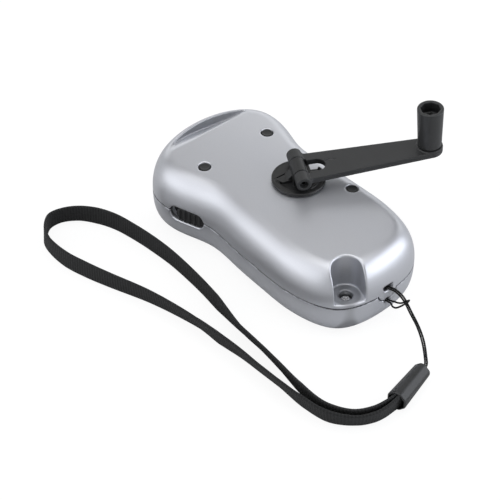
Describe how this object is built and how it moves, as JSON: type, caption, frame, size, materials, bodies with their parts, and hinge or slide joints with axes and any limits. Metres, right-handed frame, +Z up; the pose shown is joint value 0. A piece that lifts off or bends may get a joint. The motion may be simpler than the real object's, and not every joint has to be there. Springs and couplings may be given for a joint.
{
  "type": "hand crank flashlight",
  "caption": "Waisted two-part flashlight with a folding crank and round knob on top, an oval lens at one end, a side slide switch and a wrist strap tied to the tail.",
  "frame": {"origin": "on the flat underside, half way along the body and on its centre line", "axes": "+Z up out of the flat underside, +X towards the lens end, +Y towards the side with the slide switch"},
  "size_m": [0.1488, 0.1164, 0.0534],
  "materials": {
    "silver_shell": "satin silver paint on moulded plastic",
    "black_plastic": "satin moulded plastic",
    "clear_lens": "clear moulded acrylic",
    "reflector_plate": "bright metallised plastic",
    "lamp_epoxy": "clear epoxy over a warm die",
    "circuit_board": "glass epoxy board",
    "steel": "bright zinc",
    "white_nylon": "plain nylon",
    "ferrite": "dull sintered",
    "copper_coil": "enamelled copper wire",
    "cell_wrap": "shrink sleeve over a metal can",
    "black_webbing": "fine ribbed woven nylon"
  },
  "bodies": {
    "base": {"upper_shell": "silver_shell", "lower_shell": "silver_shell", "lens": "clear_lens", "reflector": "reflector_plate", "led_board": "circuit_board", "led_1": "lamp_epoxy", "led_2": "lamp_epoxy", "led_3": "lamp_epoxy", "switch_body": "steel", "axle_1": "steel", "axle_2": "steel", "gear_plate": "steel", "stator_bobbin": "black_plastic", "stator_coil": "copper_coil", "battery_cell_1": "cell_wrap", "battery_cell_2": "cell_wrap", "battery_cell_3": "cell_wrap", "cell_tab_front": "steel", "cell_tab_rear": "steel", "charge_board": "circuit_board", "capacitor": "ferrite", "shell_screw_1": "steel", "shell_screw_2": "steel", "shell_screw_3": "steel", "screw_plug_1": "black_plastic", "screw_plug_2": "black_plastic", "screw_plug_3": "black_plastic", "recess_screw": "steel", "lanyard_string": "black_webbing", "strap_sleeve": "black_plastic", "wrist_strap": "black_webbing"},
    "crank": {"crank_hub": "black_plastic", "hub_screw": "steel", "drive_gear": "white_nylon", "hinge_pin": "steel"},
    "arm": {"crank_arm": "black_plastic", "knob_screw": "steel"},
    "knob": {"crank_knob": "black_plastic"},
    "first_idler": {"idler_gear_1": "white_nylon"},
    "second_idler": {"idler_gear_2": "white_nylon"},
    "rotor": {"rotor_shaft": "steel", "rotor_magnet": "ferrite"},
    "slider": {"switch_slider": "black_plastic"}
  },
  "joints": [
    {"name": "crank_spin", "type": "hinge", "parent": "base", "child": "crank", "pos_m": [-0.00191, -0.00508, 0.0287], "axis": [0, 0, 1], "continuous": true},
    {"name": "arm_fold", "type": "hinge", "parent": "crank", "child": "arm", "pos_m": [-0.00191, -0.00508, 0.0333], "axis": [-0.866, 0.5, 0], "range_deg": [0, 155]},
    {"name": "knob_spin", "type": "hinge", "parent": "arm", "child": "knob", "pos_m": [-0.02528, -0.04554, 0.03591], "axis": [0.0279, 0.0483, 0.9984], "continuous": true},
    {"name": "first_idler_spin", "type": "hinge", "parent": "base", "child": "first_idler", "pos_m": [-0.01499, 0.00247, 0.019], "axis": [0, 0, 1], "continuous": true},
    {"name": "second_idler_spin", "type": "hinge", "parent": "base", "child": "second_idler", "pos_m": [-0.02668, -0.00066, 0.0154], "axis": [0, 0, 1], "continuous": true},
    {"name": "rotor_spin", "type": "hinge", "parent": "base", "child": "rotor", "pos_m": [-0.03445, -0.00993, 0.0155], "axis": [0, 0, 1], "continuous": true},
    {"name": "switch_slide", "type": "slide", "parent": "base", "child": "slider", "axis": [0.9485, 0.3168, 0], "range_m": [0, 0.0024]}
  ],
  "couplings": [
    {"joint": "first_idler_spin", "follows": "crank_spin", "ratio": -4},
    {"joint": "second_idler_spin", "follows": "crank_spin", "ratio": 12},
    {"joint": "rotor_spin", "follows": "crank_spin", "ratio": -36}
  ]
}
